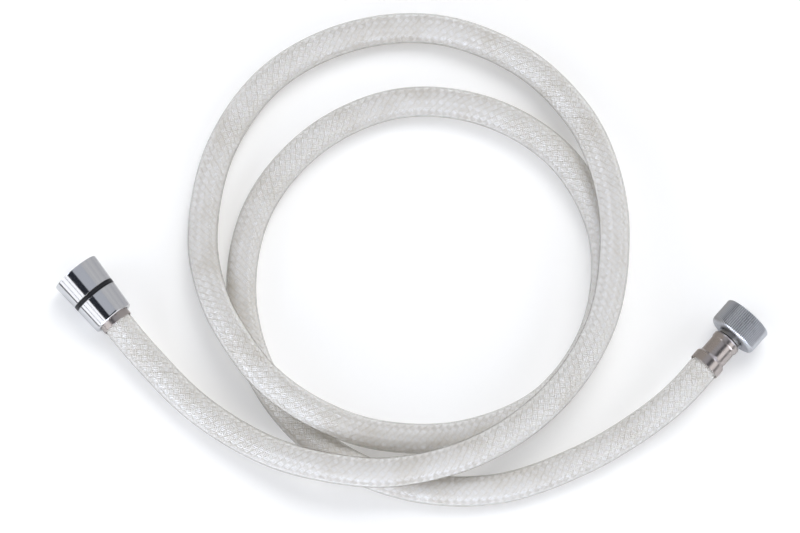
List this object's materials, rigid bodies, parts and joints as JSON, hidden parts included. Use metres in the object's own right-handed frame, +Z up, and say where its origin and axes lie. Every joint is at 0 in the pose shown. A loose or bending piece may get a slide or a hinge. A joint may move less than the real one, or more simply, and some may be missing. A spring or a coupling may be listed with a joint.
{
  "type": "shower hose",
  "caption": "Braided flexible shower hose in loose coils, with a swivelling conical nut at the handset end and a knurled round nut at the mixer end, both G 1/2.",
  "frame": {"origin": "on the surface that the hose lies on, under the middle of its outline", "axes": "+Z up; +X from the cone at the handset end towards the knurled nut at the mixer end; +Y across the coils, away from the strand that runs to both ends"},
  "size_m": [0.3294, 0.2365, 0.0288],
  "materials": {
    "braided_hose": "clear PVC over white braid",
    "chrome": "polished chrome on brass",
    "nickel_ferrule": "crimped stainless steel, slightly warm",
    "brass": "turned brass",
    "nickel_plate": "nickel plate on turned brass",
    "spring_steel": "spring steel",
    "black_plastic": "black, semi-gloss",
    "acetal": "white acetal",
    "rubber_seal": "black rubber"
  },
  "bodies": {
    "hose_and_crimps": {"hose": "braided_hose", "handset_ferrule": "nickel_ferrule", "handset_hose_tail": "brass", "snap_ring": "spring_steel", "slip_washer": "acetal", "cone_sleeve": "chrome", "trim_ring": "black_plastic", "mixer_ferrule": "nickel_ferrule", "mixer_hose_tail": "nickel_plate"},
    "spindle": {"swivel_spindle": "brass", "spindle_o_ring_1": "rubber_seal", "spindle_o_ring_2": "rubber_seal"},
    "handset_nut": {"cone_nut": "chrome", "handset_washer": "rubber_seal"},
    "mixer_nut": {"knurled_nut": "chrome", "mixer_washer": "rubber_seal"}
  },
  "joints": [
    {"name": "spindle_swivel", "type": "hinge", "parent": "hose_and_crimps", "child": "spindle", "pos_m": [-0.15068, -0.01298, 0.0113], "axis": [-0.6329, 0.7715, 0.065], "continuous": true},
    {"name": "cone_nut_turn", "type": "hinge", "parent": "spindle", "child": "handset_nut", "pos_m": [-0.15068, -0.01298, 0.0113], "axis": [-0.6329, 0.7715, 0.065], "continuous": true},
    {"name": "knurled_nut_turn", "type": "hinge", "parent": "hose_and_crimps", "child": "mixer_nut", "pos_m": [0.15288, -0.03433, 0.012], "axis": [0.6565, 0.7543, 0], "continuous": true}
  ]
}
